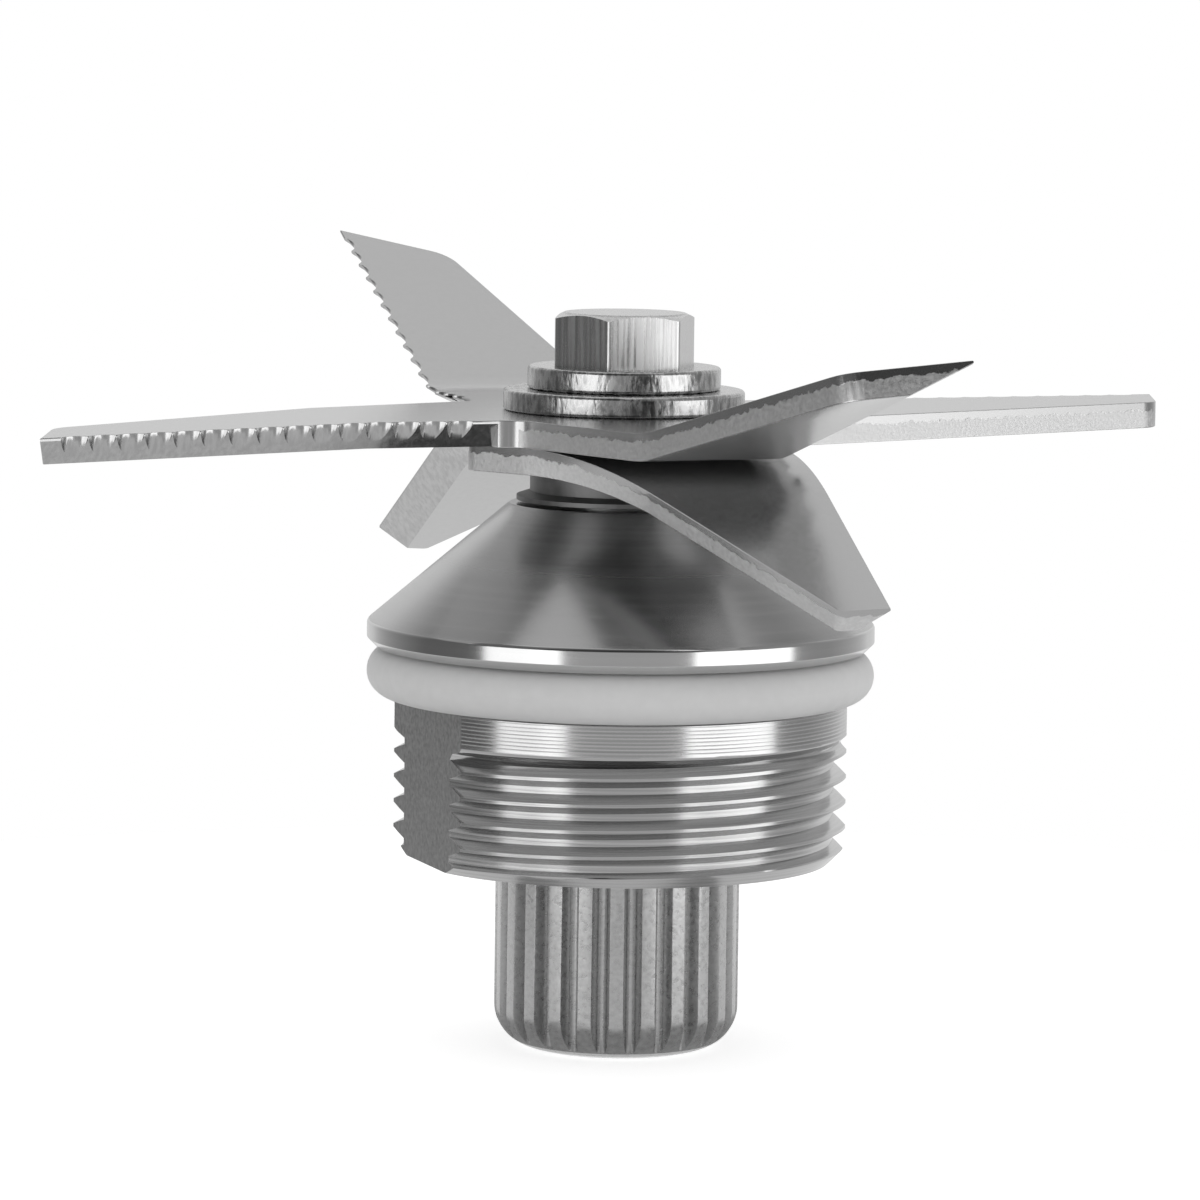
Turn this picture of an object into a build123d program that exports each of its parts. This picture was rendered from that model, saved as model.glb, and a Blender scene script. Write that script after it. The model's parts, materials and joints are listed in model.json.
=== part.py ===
"""Blender blade assembly: serrated blades on a sealed bearing unit with a splined drive stub.

Millimetres, +Z up. The origin is the centre of the drive stub's flat end face, on the shaft's axis.
The blades turn anticlockwise seen from above, so each arm's cutting edge is on its left.
"""
import os
from math import asin, atan, cos, degrees, hypot, pi, radians, sin, sqrt, tan

from build123d import *

os.makedirs("parts", exist_ok=True)

# How far a cutter runs past the faces it cuts
OVERRUN = 1.0

# Drive stub: 24 splines with a rounded lower end
STUB_DIAMETER = 19.3
STUB_LENGTH = 15.2
STUB_END_RADIUS = 3.3
SPLINE_COUNT = 24
SPLINE_LAND_WIDTH = 1.1
SPLINE_DEPTH = 1.35
SPLINE_ROOT_RADIUS = 0.4
STUB_BOSS_DIAMETER = 11.6
SHAFT_END_WALL = 3.0

# Housing: one turned piece with a cone, a rim, an O-ring groove and a threaded body
THREAD_DIAMETER = 36.0
THREADED_HEIGHT = 8.5
PLAIN_BAND_HEIGHT = 2.5
BODY_END_CHAMFER = 1.3
BODY_END_LAND = 0.4
BODY_BOTTOM_GAP = 0.2
FLAT_DEPTH = 2.0
FLATS_AZIMUTH = 200.0
RIM_HEIGHT = 2.0
RIM_TOP_CHAMFER = 0.25
RIM_BOTTOM_CHAMFER = 0.65
CONE_HEIGHT = 9.3
CONE_TOP_DIAMETER = 17.8
CONE_TOP_ROUND = 0.4

# O-ring under the rim
O_RING_SECTION = 4.0
O_RING_GROOVE_DEPTH = 2.0
O_RING_GROOVE_PLAY = 0.1

# Two 22 x 8 x 7 ball bearings
BEARING_OD = 22.0
BEARING_BORE = 8.0
BEARING_WIDTH = 7.0
BALL_DIAMETER = 3.969
BALL_COUNT = 7
OUTER_LAND_DIAMETER = 18.0
INNER_LAND_DIAMETER = 12.0
RACEWAY_CLEARANCE = 0.06
RACE_CORNER = 0.3
SHIELD_THICKNESS = 0.4
SHIELD_INSET = 0.45
SHIELD_STEP = 0.35
SHIELD_GAP = 0.15
CAGE_WALL = 1.2
CAGE_FLOOR = 0.4
CAGE_CROWN = 1.0
SPACER_HEIGHT = 1.8
INNER_SPACER_WALL = 1.8
OUTER_SPACER_WALL = 1.3

# Circlip in the mouth of the bore
CIRCLIP_THICKNESS = 1.0
CIRCLIP_GROOVE_DEPTH = 0.65
CIRCLIP_WALL = 2.2
CIRCLIP_GAP_ANGLE = 34.0
CIRCLIP_LUG_DIAMETER = 3.4
CIRCLIP_LUG_HOLE = 1.3
CIRCLIP_PLAY = 0.05
CIRCLIP_RECESS = 0.5

# Shaft
SEAL_JOURNAL_DIAMETER = 10.0
DRIVE_FLATS_ACROSS = 8.0
SHAFT_END_GAP = 0.3
TAPPED_DEPTH = 11.0
TAPPED_CLEARANCE = 0.05
DRILL_POINT_ANGLE = 118.0

# Rotary shaft seal above the upper bearing
SEAL_OD = 18.0
SEAL_WIDTH = 5.0
SEAL_CASE_WALL = 0.8
SEAL_FLANGE_BORE = 13.2
LIP_CLEARANCE = 0.05
LIP_THICKNESS = 0.6
LIP_EDGE_HEIGHT = 2.0
GARTER_SECTION = 0.7
GARTER_SEAT_GAP = 0.02
SHAFT_HOLE_DIAMETER = 12.0

# Slinger ring and the collar that carries the blades
SLINGER_DIAMETER = 16.7
SLINGER_HEIGHT = 0.7
SLINGER_FLARE = 0.35
SLINGER_GAP = 0.25
SPACER_COLLAR_DIAMETER = 14.6
SPACER_COLLAR_HEIGHT = 2.15

# Blades: stamped sheet, bevelled on the underside along the cutting edge
SHEET_THICKNESS = 2.1
EDGE_LAND = 0.25
DRIVE_HOLE_PLAY = 0.05
SERRATION_PITCH = 2.18
SERRATION_RADIUS = 1.3
SERRATION_DEPTH = 0.45
SERRATION_LEAN_ANGLE = 17.0
SERRATION_START = 16.5
BEND_STEP_COUNT = 4

# Upper blade, each arm seen from above with its root at the axis and its tip to the right
UPPER_LEAD_OFFSET = 8.0
UPPER_LEAD_ANGLE = 0.0
UPPER_TRAIL_OFFSET = 14.15
UPPER_TRAIL_ANGLE = 16.9
UPPER_BEND_RADIUS = 8.0
UPPER_CORNER_RADIUS = 2.2
UPPER_BEVEL_START = 13.4
FLAT_ARM_AZIMUTHS = (201.0, 21.0)
FLAT_ARM_BEND_ANGLES = (-1.7, 0.0)
FLAT_ARM_BEND_DISTANCES = (23.6, 23.6)
FLAT_ARM_BEVEL_WIDTH = 1.4
FLAT_ARM_REACH = 49.7
FLAT_ARM_TRAIL_REACH = 46.4
FLAT_ARM_TIP_ROUND = 3.0
RAISED_ARM_AZIMUTHS = (111.0, 291.0)
RAISED_ARM_BEND_ANGLES = (27.6, 15.4)
RAISED_ARM_BEND_DISTANCES = (23.6, 22.6)
RAISED_ARM_BEVEL_WIDTH = 4.2
RAISED_ARM_REACH = 49.4
RAISED_ARM_TRAIL_REACH = 45.2
RAISED_ARM_TIP_ROUND = 3.5

# Lower blade
LOWER_AZIMUTHS = (277.0, 97.0)
LOWER_BEND_ANGLES = (-38.0, -35.0)
LOWER_BEVEL_WIDTH = 2.3
LOWER_LEAD_OFFSET = 8.1
LOWER_LEAD_ANGLE = 15.0
LOWER_TRAIL_OFFSET = 20.0
LOWER_TRAIL_ANGLE = 45.4
LOWER_BEND_DISTANCE = 15.0
LOWER_BEND_RADIUS = 11.0
LOWER_REACH = 32.0
LOWER_TRAIL_REACH = 32.3
LOWER_CORNER_BACK = 7.0
LOWER_CORNER_SIDE = 12.95
LOWER_CORNER_ROUND = 1.5
LOWER_TIP_ROUND = 1.0

# Washers and bolt
LOWER_WASHER_OD = 19.0
LOWER_WASHER_THICKNESS = 1.7
UPPER_WASHER_OD = 15.2
UPPER_WASHER_THICKNESS = 1.8
WASHER_HOLE = 6.4
WASHER_ROUND = 0.3
BOLT_DIAMETER = 6.0
BOLT_LENGTH = 12.0
BOLT_HEAD_ACROSS = 10.0
BOLT_HEAD_HEIGHT = 4.2
BOLT_HEAD_AZIMUTH = 17.4
BOLT_HEAD_FACE_DIAMETER = 9.5
BOLT_HEAD_CHAMFER_ANGLE = 25.0
BOLT_POINT_CHAMFER = 0.8

# Levels, worked out upwards from the stub's end face
body_bottom = STUB_LENGTH - BODY_BOTTOM_GAP
thread_bottom = body_bottom + BODY_END_CHAMFER + BODY_END_LAND
thread_top = thread_bottom + THREADED_HEIGHT
groove_bottom = thread_top + PLAIN_BAND_HEIGHT
groove_height = O_RING_SECTION + O_RING_GROOVE_PLAY
rim_bottom = groove_bottom + groove_height
rim_top = rim_bottom + RIM_HEIGHT
cone_top = rim_top + CONE_HEIGHT
circlip_bottom = body_bottom + CIRCLIP_RECESS + CIRCLIP_PLAY
circlip_top = circlip_bottom + CIRCLIP_THICKNESS
lower_bearing_bottom = circlip_top
spacer_bottom = lower_bearing_bottom + BEARING_WIDTH
spacer_top = spacer_bottom + SPACER_HEIGHT
upper_bearing_bottom = spacer_top
seal_bottom = upper_bearing_bottom + BEARING_WIDTH
seal_top = seal_bottom + SEAL_WIDTH
slinger_bottom = cone_top + SLINGER_GAP
slinger_top = slinger_bottom + SLINGER_HEIGHT
collar_top = slinger_top + SPACER_COLLAR_HEIGHT
lower_blade_top = collar_top + SHEET_THICKNESS
upper_blade_top = lower_blade_top + SHEET_THICKNESS
lower_washer_top = upper_blade_top + LOWER_WASHER_THICKNESS
upper_washer_top = lower_washer_top + UPPER_WASHER_THICKNESS
bolt_top = upper_washer_top + BOLT_HEAD_HEIGHT
shaft_top = upper_blade_top - SHAFT_END_GAP

# Radii that several pieces share
bearing_bore_radius = BEARING_BORE / 2
bearing_outer_radius = BEARING_OD / 2
pitch_radius = (OUTER_LAND_DIAMETER + INNER_LAND_DIAMETER) / 4
ball_radius = BALL_DIAMETER / 2
raceway_radius = ball_radius + RACEWAY_CLEARANCE
journal_radius = SEAL_JOURNAL_DIAMETER / 2
thread_radius = THREAD_DIAMETER / 2
neck_radius = thread_radius - O_RING_GROOVE_DEPTH
rim_radius = neck_radius + O_RING_SECTION


def export(part, label):
    """Name a finished piece and write it to its own file."""
    part.label = label
    export_step(part, f"parts/{label}.step")


def ring(outer_radius, inner_radius, bottom, top):
    """A plain turned ring."""
    with BuildPart() as body:
        with BuildSketch(Plane.XY.offset(bottom)):
            Circle(outer_radius)
            Circle(inner_radius, mode=Mode.SUBTRACT)
        extrude(amount=top - bottom)
    return body.part


# Drive stub
groove_half_top = (pi * STUB_DIAMETER / SPLINE_COUNT - SPLINE_LAND_WIDTH) / 2
groove_flare = (groove_half_top - SPLINE_ROOT_RADIUS) / (SPLINE_DEPTH - SPLINE_ROOT_RADIUS)
groove_mouth_radius = STUB_DIAMETER / 2 + OVERRUN
groove_mouth_half = groove_half_top + groove_flare * OVERRUN
root_end_radius = STUB_DIAMETER / 2 - SPLINE_DEPTH + SPLINE_ROOT_RADIUS
with BuildSketch() as spline_groove:
    with BuildLine():
        Polyline(
            (root_end_radius, SPLINE_ROOT_RADIUS),
            (groove_mouth_radius, groove_mouth_half),
            (groove_mouth_radius, -groove_mouth_half),
            (root_end_radius, -SPLINE_ROOT_RADIUS),
        )
        ThreePointArc(
            (root_end_radius, -SPLINE_ROOT_RADIUS),
            (root_end_radius - SPLINE_ROOT_RADIUS, 0),
            (root_end_radius, SPLINE_ROOT_RADIUS),
        )
    make_face()
with BuildPart() as drive_coupling:
    with BuildSketch(Plane.XZ):
        with BuildLine():
            Line((0, 0), (STUB_DIAMETER / 2 - STUB_END_RADIUS, 0))
            RadiusArc(
                (STUB_DIAMETER / 2 - STUB_END_RADIUS, 0),
                (STUB_DIAMETER / 2, STUB_END_RADIUS),
                -STUB_END_RADIUS,
            )
            Polyline(
                (STUB_DIAMETER / 2, STUB_END_RADIUS),
                (STUB_DIAMETER / 2, STUB_LENGTH),
                (STUB_BOSS_DIAMETER / 2, STUB_LENGTH),
                (STUB_BOSS_DIAMETER / 2, lower_bearing_bottom),
                (0, lower_bearing_bottom),
                (0, 0),
            )
        make_face()
    revolve(axis=Axis.Z)
    with BuildSketch():
        with PolarLocations(0, SPLINE_COUNT, start_angle=-90 + 180 / SPLINE_COUNT):
            add(spline_groove.sketch)
    extrude(amount=STUB_LENGTH, mode=Mode.SUBTRACT)
    with Locations((0, 0, lower_bearing_bottom)):
        Hole(bearing_bore_radius, depth=lower_bearing_bottom - SHAFT_END_WALL)
export(drive_coupling.part, "drive_coupling")

# Shaft
tapped_radius = BOLT_DIAMETER / 2 + TAPPED_CLEARANCE
drill_point = tapped_radius / tan(radians(DRILL_POINT_ANGLE / 2))
with BuildPart() as drive_shaft:
    with BuildSketch(Plane.XZ):
        with BuildLine():
            Polyline(
                (0, SHAFT_END_WALL),
                (bearing_bore_radius, SHAFT_END_WALL),
                (bearing_bore_radius, seal_bottom),
                (journal_radius, seal_bottom),
                (journal_radius, shaft_top),
                (tapped_radius, shaft_top),
                (tapped_radius, shaft_top - TAPPED_DEPTH),
                (0, shaft_top - TAPPED_DEPTH - drill_point),
                (0, SHAFT_END_WALL),
            )
        make_face()
    revolve(axis=Axis.Z)
    with BuildSketch(Plane.XY.offset(collar_top)):
        Circle(journal_radius + OVERRUN)
        Rectangle(2 * SEAL_JOURNAL_DIAMETER, DRIVE_FLATS_ACROSS, mode=Mode.SUBTRACT)
    extrude(amount=shaft_top - collar_top, mode=Mode.SUBTRACT)
export(drive_shaft.part, "drive_shaft")

# Bearing housing
with BuildPart() as bearing_housing:
    with BuildSketch(Plane.XZ):
        with BuildLine():
            Polyline(
                (bearing_outer_radius, body_bottom),
                (thread_radius - BODY_END_CHAMFER, body_bottom),
                (thread_radius, body_bottom + BODY_END_CHAMFER),
                (thread_radius, groove_bottom),
                (neck_radius, groove_bottom),
                (neck_radius, rim_bottom),
                (rim_radius - RIM_BOTTOM_CHAMFER, rim_bottom),
                (rim_radius, rim_bottom + RIM_BOTTOM_CHAMFER),
                (rim_radius, rim_top - RIM_TOP_CHAMFER),
                (rim_radius - RIM_TOP_CHAMFER, rim_top),
                (CONE_TOP_DIAMETER / 2, cone_top),
                (SHAFT_HOLE_DIAMETER / 2, cone_top),
                (SHAFT_HOLE_DIAMETER / 2, seal_top),
                (SEAL_OD / 2, seal_top),
                (SEAL_OD / 2, seal_bottom),
                (bearing_outer_radius, seal_bottom),
                (bearing_outer_radius, circlip_top + CIRCLIP_PLAY),
                (bearing_outer_radius + CIRCLIP_GROOVE_DEPTH, circlip_top + CIRCLIP_PLAY),
                (bearing_outer_radius + CIRCLIP_GROOVE_DEPTH, circlip_bottom - CIRCLIP_PLAY),
                (bearing_outer_radius, circlip_bottom - CIRCLIP_PLAY),
                (bearing_outer_radius, body_bottom),
            )
        make_face()
    revolve(axis=Axis.Z)
    cone_rim = bearing_housing.edges().filter_by(GeomType.CIRCLE).group_by(Axis.Z)[-1]
    fillet(cone_rim.sort_by(SortBy.RADIUS)[-1], radius=CONE_TOP_ROUND)
    with BuildSketch(Plane.XY.offset(body_bottom)):
        Circle(thread_radius + OVERRUN)
        flats_across = THREAD_DIAMETER - 2 * FLAT_DEPTH
        Rectangle(flats_across, 2 * THREAD_DIAMETER, rotation=FLATS_AZIMUTH, mode=Mode.SUBTRACT)
    extrude(amount=groove_bottom - body_bottom, mode=Mode.SUBTRACT)
export(bearing_housing.part, "bearing_housing")

# O-ring: it fills its groove from the neck outwards
with BuildPart() as sealing_ring:
    with BuildSketch(Plane.XZ):
        with Locations((neck_radius + O_RING_SECTION / 2, groove_bottom + groove_height / 2)):
            Circle(O_RING_SECTION / 2)
    revolve(axis=Axis.Z)
export(sealing_ring.part, "sealing_ring")

# Ball bearings
shield_step_radius = OUTER_LAND_DIAMETER / 2 + SHIELD_STEP
shield_depth = SHIELD_INSET + SHIELD_THICKNESS


def bearing(bottom, name):
    """Write the six pieces of one shielded ball bearing that stands at a level."""
    middle = bottom + BEARING_WIDTH / 2
    top = bottom + BEARING_WIDTH
    ball_plane = Plane.XY.offset(middle)

    with BuildPart() as outer_race:
        with BuildSketch(Plane.XZ):
            with BuildLine():
                Polyline(
                    (OUTER_LAND_DIAMETER / 2, bottom + shield_depth),
                    (shield_step_radius, bottom + shield_depth),
                    (shield_step_radius, bottom),
                    (bearing_outer_radius - RACE_CORNER, bottom),
                    (bearing_outer_radius, bottom + RACE_CORNER),
                    (bearing_outer_radius, top - RACE_CORNER),
                    (bearing_outer_radius - RACE_CORNER, top),
                    (shield_step_radius, top),
                    (shield_step_radius, top - shield_depth),
                    (OUTER_LAND_DIAMETER / 2, top - shield_depth),
                    close=True,
                )
            make_face()
            with Locations((pitch_radius, middle)):
                Circle(raceway_radius, mode=Mode.SUBTRACT)
        revolve(axis=Axis.Z)
    export(outer_race.part, f"{name}_outer_race")

    with BuildPart() as inner_race:
        with BuildSketch(Plane.XZ):
            with BuildLine():
                Polyline(
                    (bearing_bore_radius, bottom + RACE_CORNER),
                    (bearing_bore_radius + RACE_CORNER, bottom),
                    (INNER_LAND_DIAMETER / 2, bottom),
                    (INNER_LAND_DIAMETER / 2, top),
                    (bearing_bore_radius + RACE_CORNER, top),
                    (bearing_bore_radius, top - RACE_CORNER),
                    close=True,
                )
            make_face()
            with Locations((pitch_radius, middle)):
                Circle(raceway_radius, mode=Mode.SUBTRACT)
        revolve(axis=Axis.Z)
    export(inner_race.part, f"{name}_inner_race")

    with BuildPart(ball_plane) as balls:
        with PolarLocations(pitch_radius, BALL_COUNT):
            Sphere(ball_radius)
    export(balls.part, f"{name}_balls")

    cage_bottom = middle - raceway_radius - CAGE_FLOOR
    with BuildPart() as cage:
        with BuildSketch(Plane.XY.offset(cage_bottom)):
            Circle(pitch_radius + CAGE_WALL / 2)
            Circle(pitch_radius - CAGE_WALL / 2, mode=Mode.SUBTRACT)
        extrude(amount=middle + CAGE_CROWN - cage_bottom)
        with Locations(ball_plane):
            with PolarLocations(pitch_radius, BALL_COUNT):
                Cylinder(raceway_radius, 2 * CAGE_WALL, rotation=(0, 90, 0), mode=Mode.SUBTRACT)
    export(cage.part, f"{name}_cage")

    inner_edge = INNER_LAND_DIAMETER / 2 + SHIELD_GAP
    for side, level in (("bottom", bottom + SHIELD_INSET), ("top", top - shield_depth)):
        shield = ring(shield_step_radius, inner_edge, level, level + SHIELD_THICKNESS)
        export(shield, f"{name}_{side}_shield")


bearing(lower_bearing_bottom, "lower_bearing")
bearing(upper_bearing_bottom, "upper_bearing")

# Spacers between the races
inner_spacer_radius = bearing_bore_radius + INNER_SPACER_WALL
inner_spacer = ring(inner_spacer_radius, bearing_bore_radius, spacer_bottom, spacer_top)
export(inner_spacer, "inner_spacer")
outer_spacer_bore = bearing_outer_radius - OUTER_SPACER_WALL
outer_spacer = ring(bearing_outer_radius, outer_spacer_bore, spacer_bottom, spacer_top)
export(outer_spacer, "outer_spacer")

# Circlip, sprung into its groove below the lower bearing
circlip_outer = bearing_outer_radius + CIRCLIP_GROOVE_DEPTH - CIRCLIP_PLAY
circlip_inner = circlip_outer - CIRCLIP_WALL
lug_offset = circlip_outer - CIRCLIP_LUG_DIAMETER / 2
lug_angle = CIRCLIP_GAP_ANGLE / 2 + degrees(asin(CIRCLIP_LUG_DIAMETER / 2 / lug_offset))
with BuildPart() as retaining_ring:
    with BuildSketch(Plane.XY.offset(circlip_bottom)):
        Circle(circlip_outer)
        Circle(circlip_inner, mode=Mode.SUBTRACT)
        with BuildLine():
            gap_reach = 2 * circlip_outer
            gap_side = gap_reach * tan(radians(CIRCLIP_GAP_ANGLE / 2))
            Polyline((0, 0), (gap_reach, gap_side), (gap_reach, -gap_side), close=True)
        make_face(mode=Mode.SUBTRACT)
        with PolarLocations(lug_offset, 2, -lug_angle, 2 * lug_angle, endpoint=True):
            Circle(CIRCLIP_LUG_DIAMETER / 2)
            Circle(CIRCLIP_LUG_HOLE / 2, mode=Mode.SUBTRACT)
    extrude(amount=CIRCLIP_THICKNESS)
export(retaining_ring.part, "retaining_ring")

# Shaft seal: steel case, rubber lip and the spring that closes the lip
case_inner = SEAL_OD / 2 - SEAL_CASE_WALL
flange_bottom = seal_top - SEAL_CASE_WALL
with BuildPart() as shaft_seal_case:
    with BuildSketch(Plane.XZ):
        with BuildLine():
            Polyline(
                (SEAL_OD / 2, seal_bottom),
                (SEAL_OD / 2, seal_top),
                (SEAL_FLANGE_BORE / 2, seal_top),
                (SEAL_FLANGE_BORE / 2, flange_bottom),
                (case_inner, flange_bottom),
                (case_inner, seal_bottom),
                close=True,
            )
        make_face()
    revolve(axis=Axis.Z)
export(shaft_seal_case.part, "shaft_seal_case")

lip_edge = journal_radius + LIP_CLEARANCE
lip_heel = lip_edge + LIP_THICKNESS
lip_level = seal_bottom + LIP_EDGE_HEIGHT
lip_toe = lip_level - LIP_THICKNESS
lip_back = SEAL_FLANGE_BORE / 2
with BuildPart() as shaft_seal_lip:
    with BuildSketch(Plane.XZ):
        with BuildLine():
            Polyline(
                (case_inner, flange_bottom),
                (case_inner, flange_bottom - LIP_THICKNESS),
                (lip_back, flange_bottom - LIP_THICKNESS),
                (lip_heel + LIP_THICKNESS / 2, lip_toe),
                (lip_edge + LIP_THICKNESS / 2, lip_toe),
                (lip_edge, lip_level),
                (lip_heel, flange_bottom - LIP_THICKNESS),
                (lip_heel, flange_bottom),
                close=True,
            )
        make_face()
    revolve(axis=Axis.Z)
export(shaft_seal_lip.part, "shaft_seal_lip")

back_run = lip_back - lip_heel - LIP_THICKNESS / 2
back_rise = flange_bottom - LIP_THICKNESS - lip_toe
back_slope = back_run / back_rise
garter_clear = (GARTER_SECTION / 2 + GARTER_SEAT_GAP) * hypot(1, back_slope)
garter_radius = lip_heel + LIP_THICKNESS / 2 + back_slope * (lip_level - lip_toe) + garter_clear
with BuildPart() as garter_spring:
    with BuildSketch(Plane.XZ):
        with Locations((garter_radius, lip_level)):
            Circle(GARTER_SECTION / 2)
    revolve(axis=Axis.Z)
export(garter_spring.part, "garter_spring")

# Slinger ring over the shaft opening: its skirt flares out towards the cone
with BuildPart() as slinger_ring:
    with BuildSketch(Plane.XZ):
        with BuildLine():
            Polyline(
                (journal_radius, slinger_bottom),
                (SLINGER_DIAMETER / 2, slinger_bottom),
                (SLINGER_DIAMETER / 2, slinger_bottom + SLINGER_FLARE),
                (SPACER_COLLAR_DIAMETER / 2, slinger_top),
                (journal_radius, slinger_top),
                close=True,
            )
        make_face()
    revolve(axis=Axis.Z)
export(slinger_ring.part, "slinger_ring")

# Collar between the slinger ring and the blades
blade_spacer = ring(SPACER_COLLAR_DIAMETER / 2, journal_radius, slinger_top, collar_top)
export(blade_spacer, "blade_spacer")


# Blades: hub plate and arms share one rule for the cutting edge, a narrow land and a bevel below it
def line_at(line, along):
    """Side of an arm's edge line at a distance from the axis; a line is (side at the axis, slope)."""
    return line[0] + line[1] * along


def point_towards(azimuth, along, side):
    """Plan point of an arm that points to an azimuth."""
    turn = radians(azimuth)
    return (along * cos(turn) - side * sin(turn), along * sin(turn) + side * cos(turn))


def bend_setback(radius, bend):
    """Length from the start of a bend to the line where the two flat top faces would meet."""
    top_radius = radius if bend >= 0 else radius + SHEET_THICKNESS
    return top_radius * tan(radians(abs(bend)) / 2)


def blade_arm(top, bend_distance, bend_radius, bend, bevel, lead, trail, reach, trail_reach, tip_round):
    """One arm beyond the flat hub, along +X: a bend, a straight blade and an oblique tip."""
    up = 1 if bend >= 0 else -1
    turn = radians(abs(bend))
    top_radius = bend_radius if up > 0 else bend_radius + SHEET_THICKNESS
    setback = bend_setback(bend_radius, bend)
    bend_start = bend_distance - setback
    bend_end = bend_distance + setback

    stations = []
    if turn > 0:
        for step in range(BEND_STEP_COUNT + 1):
            angle = turn * step / BEND_STEP_COUNT
            rise = up * top_radius * (1 - cos(angle))
            along = bend_start + 2 * setback * step / BEND_STEP_COUNT
            stations.append((along, bend_start + top_radius * sin(angle), rise, up * angle))
    run_out = []
    for along in (bend_end, reach + SHEET_THICKNESS):
        out = along - bend_distance
        run_out.append((along, bend_distance + out * cos(turn), up * out * sin(turn), up * turn))

    with BuildPart() as arm:
        for group in (stations, run_out):
            for along, distance, rise, angle in group:
                across = Plane(
                    origin=(distance, 0, top + rise),
                    x_dir=(0, 1, 0),
                    z_dir=(cos(angle), 0, sin(angle)),
                )
                trail_side = line_at(trail, along)
                lead_side = line_at(lead, along)
                with BuildSketch(across):
                    with BuildLine():
                        Polyline(
                            (trail_side, 0),
                            (lead_side, 0),
                            (lead_side, -EDGE_LAND),
                            (lead_side - bevel, -SHEET_THICKNESS),
                            (trail_side, -SHEET_THICKNESS),
                            close=True,
                        )
                    make_face()
            if group:
                loft()
        tip_plane = Plane(
            origin=(bend_distance, 0, top),
            x_dir=(cos(turn), 0, up * sin(turn)),
            z_dir=(-up * sin(turn), 0, cos(turn)),
        )
        lead_tip = Vector(reach - bend_distance, line_at(lead, reach))
        trail_tip = Vector(trail_reach - bend_distance, line_at(trail, trail_reach))
        side = (lead_tip - trail_tip).normalized() * reach
        outwards = Vector(reach, 0)
        with BuildSketch(tip_plane.offset(SHEET_THICKNESS)):
            with BuildLine():
                Polyline(
                    trail_tip - side,
                    lead_tip + side,
                    lead_tip + side + outwards,
                    trail_tip - side + outwards,
                    close=True,
                )
            make_face()
        extrude(amount=-3 * SHEET_THICKNESS, mode=Mode.SUBTRACT)
        trail_corner = tip_plane.from_local_coords(Vector(trail_tip.X, trail_tip.Y, -SHEET_THICKNESS / 2))
        fillet(arm.edges().sort_by_distance(trail_corner)[0], radius=tip_round)
    return arm.part


upper_lead = (UPPER_LEAD_OFFSET, tan(radians(UPPER_LEAD_ANGLE)))
upper_trail = (-UPPER_TRAIL_OFFSET, tan(radians(UPPER_TRAIL_ANGLE)))
lower_lead = (LOWER_LEAD_OFFSET, tan(radians(LOWER_LEAD_ANGLE)))
lower_trail = (-LOWER_TRAIL_OFFSET, tan(radians(LOWER_TRAIL_ANGLE)))


def serration_cutters(top, bend_distance, bend, lead, reach):
    """Round cutters along an arm's cutting edge; each leans in under the sheet, like the bevel."""
    slope = atan(lead[1])
    lean = radians(SERRATION_LEAN_ANGLE)
    cutters = []
    count = int((reach - SERRATION_START) / (SERRATION_PITCH * cos(slope)))
    for number in range(count):
        along = SERRATION_START + number * SERRATION_PITCH * cos(slope)
        tilt = radians(bend) if along > bend_distance else 0
        out = along - bend_distance
        edge_plane = Plane(
            origin=(bend_distance + out * cos(tilt), line_at(lead, along), top + out * sin(tilt)),
            x_dir=(cos(tilt) * cos(slope), sin(slope), sin(tilt) * cos(slope)),
            z_dir=(-sin(tilt), 0, cos(tilt)),
        )
        cut_plane = Plane(
            origin=edge_plane.origin + edge_plane.y_dir * (SERRATION_RADIUS - SERRATION_DEPTH),
            x_dir=edge_plane.x_dir,
            z_dir=edge_plane.z_dir * cos(lean) + edge_plane.y_dir * sin(lean),
        )
        with BuildPart(cut_plane) as cutter:
            Cylinder(SERRATION_RADIUS, 4 * SHEET_THICKNESS)
        cutters.append(cutter.part)
    return cutters


def turned(part, azimuth):
    """A copy of a piece turned about the shaft's axis."""
    return part.rotate(Axis.Z, azimuth)


def drive_hole(level):
    """The double-flat hole that fits over the shaft's end."""
    with BuildPart() as hole:
        with BuildSketch(Plane.XY.offset(level)):
            Circle(journal_radius + DRIVE_HOLE_PLAY)
            Rectangle(
                2 * SEAL_JOURNAL_DIAMETER,
                DRIVE_FLATS_ACROSS + 2 * DRIVE_HOLE_PLAY,
                mode=Mode.INTERSECT,
            )
        extrude(amount=SHEET_THICKNESS)
    return hole.part


# Azimuth, bend angle and bend distance of an arm, then its bevel width and its tip
flat_tip = (FLAT_ARM_BEVEL_WIDTH, FLAT_ARM_REACH, FLAT_ARM_TRAIL_REACH, FLAT_ARM_TIP_ROUND)
raised_tip = (RAISED_ARM_BEVEL_WIDTH, RAISED_ARM_REACH, RAISED_ARM_TRAIL_REACH, RAISED_ARM_TIP_ROUND)
upper_arms = []
for placing in zip(FLAT_ARM_AZIMUTHS, FLAT_ARM_BEND_ANGLES, FLAT_ARM_BEND_DISTANCES):
    upper_arms.append(placing + flat_tip)
for placing in zip(RAISED_ARM_AZIMUTHS, RAISED_ARM_BEND_ANGLES, RAISED_ARM_BEND_DISTANCES):
    upper_arms.append(placing + raised_tip)

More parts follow.
